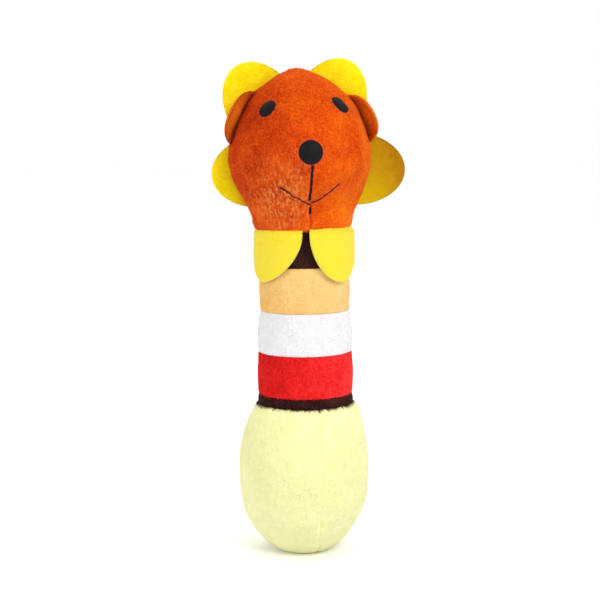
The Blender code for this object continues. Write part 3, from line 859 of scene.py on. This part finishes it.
def head_cover():
    tree = surface_of(*HEAD_NODES, "head_stuffing")
    centre = Vector((head_axis_low.x, 0, face_low.z + 0.5 * (face_high.z - face_low.z)))
    bm = evened(wrapped(quad_ball(COARSE), tree, centre, -0.3), 4)
    for v in bm.verts:
        side = min(1.0, abs(v.co.x - centre.x) / HEAD_HALF) ** 2
        temple = valley(v.co.z - temple_z, 13.0) * side
        v.co.x -= math.copysign(TEMPLE_HOLLOW * temple, v.co.x - centre.x)
    floor_z = face_low.z + 0.0035
    holds = []
    for v in bm.verts:
        mane = valley(v.co.y - mane_seam_y, 1.6)
        spine = valley(v.co.x - centre.x, 1.6) if v.co.y > mane_seam_y else 0.0
        dart = valley(v.co.x - centre_line_x(v.co.z), 1.6) if v.co.y < 0 and v.co.z < chin.z else 0.0
        holds.append(1.0 if v.co.z < floor_z else 0.85 * max(mane, spine, dart))
    bm = blown_up(bm, holds, 3.5, 1.5)
    bm = evened(halved(bm), 2)
    layers = ("seam", "pressed", "painted_light", "coarse")
    seam, pressed, painted_light, coarse = (number_layer(bm, name) for name in layers)
    bm.normal_update()
    for v in bm.verts:
        mane = valley(v.co.y - mane_seam_y, 0.8)
        spine = valley(v.co.x - centre.x + wobble(v.co, 0.1, 0.5, 6), 0.6) if v.co.y > mane_seam_y else 0.0
        drift = v.co.x - centre_line_x(v.co.z) + wobble((0, 0, v.co.z), 0.15, 0.6, 7)
        dart = valley(drift, 0.55) if v.co.y < 0 and v.co.z < chin.z + 0.002 else 0.0
        line = max(mane, spine, dart)
        near = max(valley(v.co.y - mane_seam_y, 4.0), valley(drift, 3.0) if dart or v.co.z < chin.z else 0.0)
        crown = min(1.0, max(0.0, (face_high.z - v.co.z) / (12 * MM)))
        dents = crown * (wobble(v.co, 0.055, 1.1, 9) + wobble(v.co, 0.16, 0.45, 12))
        puckers = near * wobble(v.co, 0.30, 0.5, 14)
        fade = min(1.0, max(0.0, (v.co.z - face_low.z) / 0.004))
        v.co += v.normal * (fade * (dents + puckers) - line * 0.7 * MM)
        v[seam] = line
        v[pressed] = pressed_nap(v.co)
        v[painted_light] = painted_light_tone(v.co)
        v[coarse] = coarse_share(v.co)
    keep_outside(bm, ["head_stuffing"], STUFFING_GAP)
    return bm


head_bm = head_cover()
head_surface = surface_of_mesh(head_bm)
raise_pile(head_bm, HEAD_TUFT, (0, 0, -0.35), 21.0, lambda f: f.calc_center_median().z > face_low.z + 0.0005)
head = add_piece("head_cover", head_bm, "orange_plush", "head", replaces=HEAD_NODES)
print("head has", len(head.data.polygons), "faces")

# %% [markdown]
# ## Embroidery
# Eyes and nose are satin stitch: threads laid side by side across a shape, standing up in the middle where
# they cross the padding under them. Each is a round of rings whose points land on the head, then rise by a
# dome and by the ridges of the threads.

# %% Satin-stitched eyes and nose
THREAD_PITCH = 0.55


def satin_pad(name, direction, slant):
    """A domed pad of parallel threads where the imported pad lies. slant turns the threads, in degrees."""
    low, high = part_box(name)
    centre = (low + high) / 2
    inward = -Vector(direction).normalized()
    turn = inward.to_track_quat("-Z", "Y").to_matrix()
    outline = [turn.transposed() @ (v.co - centre) for v in frame["nodes"][name].data.vertices]
    radius = max(math.hypot(p.x, p.y) for p in outline)
    rings, segments = 22, 96
    profile = [(radius / MM * i / rings, 0) for i in range(rings + 1)]
    bm = ring_spin(profile, segments)
    slant = math.radians(slant)
    seated = {}
    for v in bm.verts:
        flat = turn @ v.co
        hit = head_surface.ray_cast(centre + flat - inward * 0.02, inward)[0]
        seated[v] = (hit, v.co.length / radius, v.co.x * math.cos(slant) + v.co.y * math.sin(slant))
    for v, (hit, share, across_threads) in seated.items():
        dome = 0.95 * (1 - share**3.0)
        ridge = 0.10 * abs(math.cos(math.pi * across_threads / (THREAD_PITCH * MM)))
        rough = wobble(hit, 1.2, 0.10, 5)
        raised = hit - inward * ((0.12 + dome + ridge) * MM + rough)
        v.co = raised if share < 0.99 else hit + inward * 0.4 * MM
    rim = [e for e in bm.edges if e.is_boundary]
    skirt = bmesh.ops.extrude_edge_only(bm, edges=rim)
    lowered = [g for g in skirt["geom"] if isinstance(g, bmesh.types.BMVert)]
    bmesh.ops.translate(bm, verts=lowered, vec=inward * 0.6 * MM)
    bmesh.ops.holes_fill(bm, edges=[e for e in bm.edges if e.is_boundary])
    bmesh.ops.recalc_face_normals(bm, faces=bm.faces)
    return add_piece(name + "_stitching", bm, "black_thread", "head", replaces=[name])


for name, direction, slant in (
    ("eye_left", (-0.62, -0.75, 0.25), 65),
    ("eye_right", (0.62, -0.75, 0.25), 115),
    ("nose", (0, -1, 0.05), 80),
):
    pad = satin_pad(name, direction, slant)
    print(pad.name, len(pad.data.polygons), "faces")

# %% [markdown]
# The mouth is back stitch: one stitch after another, each a short thread that comes up out of the plush and
# goes down again. A tube is laid along each stitch, highest in its middle.

# %% Back-stitched mouth
STITCH_LENGTH = 3.1


def tube_along(bm, path, radius, sides=8):
    """A closed tube round the points of a path, tapered at both ends."""
    rings = []
    for i, point in enumerate(path):
        ahead = (path[min(i + 1, len(path) - 1)] - path[max(i - 1, 0)]).normalized()
        turn = ahead.to_track_quat("Z", "Y").to_matrix().to_4x4()
        size = radius * MM * (0.55 if i in (0, len(path) - 1) else 1.0)
        place = Matrix.Translation(point) @ turn
        made = bmesh.ops.create_circle(bm, segments=sides, radius=size, cap_ends=False, matrix=place)
        rings.append(made["verts"])
    edges_of = [[e for e in {e for v in ring for e in v.link_edges} if e.is_wire] for ring in rings]
    for first, second in zip(edges_of, edges_of[1:]):
        bmesh.ops.bridge_loops(bm, edges=first + second)
    for ring in (rings[0], rings[-1]):
        bmesh.ops.contextual_create(bm, geom=ring)
    return bm


def on_face(x, z):
    """The point of the head's front at (x, z)."""
    return landing(head_surface, (x, -0.2, z), (0, 1, 0))


def stitch_row(bm, start, end, count, radius, sideways=0.0, ease=1.0):
    """Back stitches from start to end, as (x, z). ease bends the row, and sideways sets it off, in metres."""
    rng = np.random.default_rng(int(abs(start[0]) * 1e6) % 9973 + count)
    for number in range(count):
        path = []
        slip = rng.normal(0, 0.12, 2) * MM
        for i in range(7):
            along_row = (number - 0.04 + 1.08 * i / 6) / count
            x = start[0] + (end[0] - start[0]) * along_row + sideways
            z = end[1] + (start[1] - end[1]) * max(0.0, 1 - along_row) ** ease
            lift = (0.15 + 0.50 * math.sin(math.pi * i / 6) ** 0.6) * MM
            path.append(on_face(x + slip[0], z + slip[1]) - Vector((0, lift, 0)))
        tube_along(bm, path, radius)
    return bm


def mouth_piece(name, rows, radius, ease=1.0):
    """One or more rows of back stitches along a packed line, set off sideways by rows, in millimetres."""
    start, end = mouth_points(name)
    bm = bmesh.new()
    length = math.dist(start, end) / MM
    for sideways in rows:
        count = max(1, round(length / STITCH_LENGTH))
        stitch_row(bm, start, end, count, radius, sideways * MM, ease)
    bmesh.ops.recalc_face_normals(bm, faces=bm.faces)
    return add_piece(name + "_stitching", bm, "black_thread", "head", replaces=[name])


mouth_piece("nose_line", (-0.30, 0.30), 0.27)
mouth_piece("smile_left", (0.0,), 0.25, 1.3)
mouth_piece("smile_right", (0.0,), 0.25, 1.3)
mouth_piece("chin_stitch", (0.1, 0.6), 0.27)


def thread_tails(name, corner, tails):
    """Loose ends of thread beside an eye: each runs from the corner by (x, z) millimetres."""
    bm = bmesh.new()
    for start_x, start_z, run_x, run_z in tails:
        path = []
        for i in range(6):
            share = i / 5
            x = corner[0] + (start_x + run_x * share) * MM
            z = corner[1] + (start_z + run_z * share - 0.4 * share * share) * MM
            path.append(on_face(x, z) - Vector((0, (0.35 + 0.35 * math.sin(math.pi * share)) * MM, 0)))
        tube_along(bm, path, 0.13, 5)
    bmesh.ops.recalc_face_normals(bm, faces=bm.faces)
    return add_piece(name, bm, "black_thread", "head")


inner_corner = (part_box("eye_left")[1].x, middle_of("eye_left").z)
thread_tails("eye_left_tails", inner_corner, ((-1.4, 1.2, 2.2, 0.5), (-1.0, -0.6, 1.7, -0.7)))
inner_corner = (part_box("eye_right")[0].x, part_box("eye_right")[1].z)
thread_tails("eye_right_tails", inner_corner, ((1.0, -1.4, -1.9, 0.9), (0.8, -2.6, -1.8, -0.2)))

# %% [markdown]
# ## Felt petals
# A petal is a flat piece of felt with a round end, 1.5 mm thick. It is cut from a fine grid in the frame of
# its own joint, where X runs along the seam and Z points outwards, so the same few lines make all of them.
# Felt never hangs quite flat: slow waves are added, and the cut edge is marked so that it can be painted
# paler, a painted highlight. The root stays with the head as the petal bends.

# %% Four petals of the mane
FELT_GRID = 0.6


def joint_frame(joint, body_node):
    """The matrix from a joint's own axes: X along its axis, Z towards the far tip of the node it turns."""
    origin, axis = Vector(joint["pos_m"]), Vector(joint["axis"]).normalized()
    reaches = [v.co - origin for v in frame["nodes"][body_node].data.vertices]
    reaches = [reach - axis * reach.dot(axis) for reach in reaches]
    farthest = max(reach.length for reach in reaches)
    towards = sum((reach for reach in reaches if reach.length > 0.97 * farthest), Vector()).normalized()
    turn = Matrix((axis, towards.cross(axis), towards)).transposed()
    return Matrix.Translation(origin) @ turn.to_4x4()


def size_in(place, name):
    """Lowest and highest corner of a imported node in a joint's own axes."""
    inside = place.inverted()
    points = [inside @ v.co for v in frame["nodes"][name].data.vertices]
    lows = [min(p[i] for p in points) for i in range(3)]
    highs = [max(p[i] for p in points) for i in range(3)]
    return Vector(lows), Vector(highs)


def felt_sheet(first, last, edge, sewn, thickness):
    """A sheet and its flat area: x runs from first to last, z from sewn(x) to edge(x), all in metres."""
    columns = round((last - first) / (FELT_GRID * MM))
    rows = max(4, round((edge((first + last) / 2) - sewn((first + last) / 2)) / (FELT_GRID * MM)))
    bm = bmesh.new()
    bmesh.ops.create_grid(bm, x_segments=columns, y_segments=rows, size=1.0)
    for v in bm.verts:
        x = (first + last) / 2 + (last - first) / 2 * math.sin(v.co.x * math.pi / 2)
        share = (v.co.y + 1) / 2
        v.co = Vector((x, 0, sewn(x) + share * (edge(x) - sewn(x))))
    # The free cut edge is marked for a painted highlight.
    rim_highlight_layer = number_layer(bm, "rim_highlight")
    for v in bm.verts:
        v[rim_highlight_layer] = 1.0 if v.is_boundary and v.co.z > sewn(v.co.x) + 0.0005 else 0.0
    area = sum(face.calc_area() for face in bm.faces)
    bmesh.ops.recalc_face_normals(bm, faces=bm.faces)
    bmesh.ops.solidify(bm, geom=bm.faces[:], thickness=thickness)
    bmesh.ops.translate(bm, verts=bm.verts, vec=(0, -sum(v.co.y for v in bm.verts) / len(bm.verts), 0))
    rims = [e for e in bm.edges if abs(e.verts[0].co.y - e.verts[1].co.y) < 1e-6 and is_rim(e)]
    bmesh.ops.bevel(
        bm,
        geom=rims,
        offset=thickness * 0.28,
        offset_type="OFFSET",
        segments=2,
        profile=0.5,
        affect="EDGES",
        material=-1,
    )
    return bm, area


def is_rim(edge):
    """True on an edge between a wall of the sheet and its rim."""
    if len(edge.link_faces) != 2:
        return False
    first, second = (abs(face.normal.y) for face in edge.link_faces)
    return (first > 0.7) != (second > 0.7)


def wavy(bm, place, amount, seed):
    """Slow waves across a felt sheet, none at its root, and a fibrous skin."""
    for v in bm.verts:
        free = min(1.0, max(0.0, v.co.z / 0.008))
        wave = free * (wobble((v.co.x, 0, v.co.z), 0.045, amount, seed))
        v.co.y += wave + wobble(v.co, 1.1, 0.10, seed) + wobble(v.co, 0.35, 0.10, seed)
        v.co = place @ v.co
    return bm


PETAL_HALF, PETAL_LENGTH, FELT_THICKNESS = 17.5 * MM, 25.0 * MM, 1.5 * MM
SEWN_IN, DIVES = 6.0 * MM, 3.0 * MM
# How dark each petal is beside the head, how far that reaches, and how much darker it gets towards its tip.
SHADES = {
    "upper_petal_left": 0.50,
    "upper_petal_right": 0.30,
    "side_petal_left": 0.9,
    "side_petal_right": 1.05,
}
SHADE_FADE = {name: 0.2 if name == "side_petal_right" else 6 * MM for name in SHADES}
SHADE_RISE = {name: 0.4 if name == "side_petal_right" else 0.0 for name in SHADES}


def mane_petal(name, joint, body, seed):
    place = joint_frame(joint, name)
    back = place.inverted()
    out = place.to_3x3().col[2]
    tip = size_in(place, name)[1].z

    def edge(x):
        return tip - PETAL_LENGTH * (1 - math.sqrt(max(0.0, 1 - (x / PETAL_HALF) ** 2)))

    def head_at(x):
        hit = landing(head_surface, place @ Vector((x, 0, 2 * PETAL_LENGTH)), -out)
        return (back @ hit).z if hit else -PETAL_LENGTH

    def sewn(x):
        return min(head_at(x) - SEWN_IN, edge(x) - MM)

    spots = [PETAL_HALF * i / 100 for i in range(-100, 101)]
    shown = [x for x in spots if edge(x) > head_at(x) - DIVES]
    bm, area = felt_sheet(shown[0], shown[-1], edge, sewn, FELT_THICKNESS)
    bmesh.ops.recalc_face_normals(bm, faces=bm.faces)
    shade = number_layer(bm, "shade")
    for v in bm.verts:
        fade = math.exp(-max(0.0, v.co.z - head_at(v.co.x)) / SHADE_FADE[name])
        v[shade] = SHADES[name] * fade * (0.8 - 0.2 * v.co.x / PETAL_HALF + SHADE_RISE[name] * v.co.z / tip)
    wavy(bm, place, 1.6, seed)
    piece = add_piece(name + "_felt", bm, "yellow_felt", replaces=[name])
    origin = Vector(joint["pos_m"])
    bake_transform(piece, "head", body, start=origin - out * 0.001, end=origin + out * 0.005)
    flat = (shown[-1] - shown[0], max(0.01, tip - sewn(0)))
    print(name, "is cut flat", [round(side / MM, 1) for side in flat], "mm,", round(area / MM**2), "mm2")
    return piece


for number, side in enumerate(("left", "right")):
    for row in ("upper", "side"):
        name = f"{row}_petal_{side}"
        piece = mane_petal(name, joints[f"{name}_fold"], f"petal_{row}_{side}", 31.0 + 3 * number)
        print(piece.name, len(piece.data.polygons), "faces")

# %% [markdown]
# The two petals under the chin hang down and wrap round the stick. They are cut flat in the same way, and
# then rolled: the distance across the sheet becomes an angle round the stick.

# %% Two petals under the chin
BIB_ROOT, BIB_HUG = 3.5 * MM, 0.4 * MM
BIB_SLANT = {"left": -3.5 * MM, "right": -1.5 * MM}


def bib_petal(name, joint, body, seed, slant):
    origin = Vector(joint["pos_m"])
    neck_x = middle_of("neck_band").x
    centre = math.atan2(origin.x - neck_x, -origin.y)
    spots = [v.co - Vector((neck_x, 0, 0)) for v in frame["nodes"][name].data.vertices]
    reach = [math.hypot(p.x, p.y) for p in spots]
    radius = (min(reach) + max(reach)) / 2 - BIB_HUG
    spread = max(abs(math.remainder(math.atan2(p.x, -p.y) - centre, 2 * math.pi)) for p in spots)
    low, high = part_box(name)
    half, length = radius * spread, high.z - low.z

    def edge(x):
        return length * max(0.0, 1 - abs(x / half) ** 1.8) ** 0.53

    bm, area = felt_sheet(-half, half, edge, lambda x: -BIB_ROOT, FELT_THICKNESS)
    bmesh.ops.recalc_face_normals(bm, faces=bm.faces)
    # These petals are marked for the paler yellow.
    paler_yellow = number_layer(bm, "paler_yellow")
    for v in bm.verts:
        v[paler_yellow] = 1.0
    for v in bm.verts:
        free = min(1.0, max(0.0, v.co.z / 0.01))
        lift = free * abs(wobble((v.co.x, 0, v.co.z), 0.05, 1.0, seed)) + wobble(v.co, 1.1, 0.10, seed)
        around = centre + (v.co.x + slant * max(0.0, v.co.z / length) ** 2) / radius
        out = radius - v.co.y + lift + min(0.0, v.co.z) * 0.6
        v.co = Vector((neck_x + out * math.sin(around), -out * math.cos(around), high.z - v.co.z))
    bmesh.ops.recalc_face_normals(bm, faces=bm.faces)
    piece = add_piece(name + "_felt", bm, "yellow_felt", replaces=[name])
    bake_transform(piece, "head", body, start=(0, 0, high.z), end=(0, 0, high.z - 0.006))
    2 * half
    length + BIB_ROOT
    return piece


for number, side in enumerate(("left", "right")):
    name = f"bib_petal_{side}"
    body = f"petal_bib_{side}"
    piece = bib_petal(name, joints[f"{name}_lift"], body, 41.0 + number, BIB_SLANT[side])
    print(piece.name, len(piece.data.polygons), "faces")

# %% [markdown]
# ## Ears
# Each ear is two layers of plush sewn together and turned, caught in the mane's seam and folded forward, so
# it cups round a hollow that is darkened with painted shade, while its lobe is lightened with painted light.
# A ball of quads is flattened into a pad in the ear joint's own axes, cupped, and covered in the same pile as
# the head.

# %% Two ears
EAR_TUFT = 0.55
# How far each ear's hollow reaches, as a dent and as painted shade, how full each ear is, and how much painted
# light lightens each lobe.
HOLLOW_REACH = {"left": 4.4 * MM, "right": 5.2 * MM}
EAR_FULLNESS = {"left": 1.15, "right": 1.05}
EAR_PAINTED_LIGHT = {"left": 1.1, "right": 0.9}


def ear(side):
    joint = joints[f"ear_{side}_fold"]
    names = [f"ear_{side}_inner", f"ear_{side}_outer"]
    place = joint_frame(joint, names[0])
    boxes = [size_in(place, name) for name in names]
    half = EAR_FULLNESS[side] * max(max(-low.x, high.x) for low, high in boxes)
    length = EAR_FULLNESS[side] * max(high.z for low, high in boxes)
    thick = (max(high.y for low, high in boxes) - min(low.y for low, high in boxes)) / 2
    face_side = 1 if (place.to_3x3().col[1].y < 0) else -1
    bm = quad_ball(32)
    pit_shade, painted_light = number_layer(bm, "pit_shade"), number_layer(bm, "painted_light")
    for v in bm.verts:
        x, y, z = v.co
        rim = math.hypot(x, z)
        along_seam, out = x * half, z * length if z > 0 else z * 0.006
        wall = y * thick * (0.9 if z > 0 else 1.0)
        cup = face_side * (0.0030 * (1 - x * x) * max(0.0, z) + 0.0035 * max(0.0, rim - 0.55) ** 2 * 4)
        # The hollow is a dent, and is darkened with painted shade.
        reach = valley(max(0.0, out), HOLLOW_REACH[side] / MM)
        hollow = reach * (1 - x * x) if face_side * y > 0.15 else 0.0
        v[pit_shade] = hollow
        # Painted light lightens the lobe outside the hollow.
        v[painted_light] = EAR_PAINTED_LIGHT[side] * (1 - hollow)
        v.co = Vector((along_seam, wall + cup - face_side * (0.002 + 0.0012 * hollow), out))
    for v in bm.verts:
        v.co = place @ v.co
    bmesh.ops.recalc_face_normals(bm, faces=bm.faces)
    raise_pile(bm, EAR_TUFT, (0, 0, -0.2), 51.0 + len(side))
    piece = add_piece(f"ear_{side}", bm, "orange_plush", replaces=names)
    out = place.to_3x3().col[2]
    origin = Vector(joint["pos_m"])
    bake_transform(piece, "head", f"ear_{side}", start=origin - out * 0.001, end=origin + out * 0.004)
    return piece


for side in ("left", "right"):
    piece = ear(side)
    print(piece.name, len(piece.data.polygons), "faces")

# %% [markdown]
# ## What the covers hide
# The stuffing and the squeaker belong out of sight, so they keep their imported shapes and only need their
# finishes. Two wads of stuffing sit across a joint. They are copied, so that they can bend with the bands
# round them.

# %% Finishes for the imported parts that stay, and two wads that bend
def bending_wad(name, first, second):
    bm = bmesh.new()
    bm.from_mesh(frame["nodes"][name].data)
    bmesh.ops.remove_doubles(bm, verts=bm.verts, dist=1e-6)
    piece = add_piece(name + "_wad", bm, "fibrefill", replaces=[name])
    low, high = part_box(name)
    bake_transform(piece, first, second, start=(0, 0, low.z), end=(0, 0, high.z))
    return piece


BENDING = {"waist_stuffing": ("grip", "stick"), "apricot_stuffing": ("collar", "head")}
for name, (first, second) in BENDING.items():
    bending_wad(name, first, second)
HIDDEN = {"stuffing": "fibrefill", "squeaker": "squeaker_plastic"}
for name, node in frame["nodes"].items():
    for word, finish in HIDDEN.items():
        if word in name and name not in BENDING:
            node.data.materials.clear()
            node.data.materials.append(FINISHES[finish])
print("finished", sum(any(w in n for w in HIDDEN) for n in frame["nodes"]), "packed parts")

# %% [markdown]
# ## Sizes
# The two boxes below are the imported model's and the dressed toy's. They should differ by little more than the
# height of the pile.

# %% Print the sizes and finish
new_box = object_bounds()
cad_size, new_size = cad_box[1] - cad_box[0], new_box[1] - new_box[0]
print("grew by", [round((b - a) / MM, 1) for a, b in zip(cad_size, new_size)], "mm")
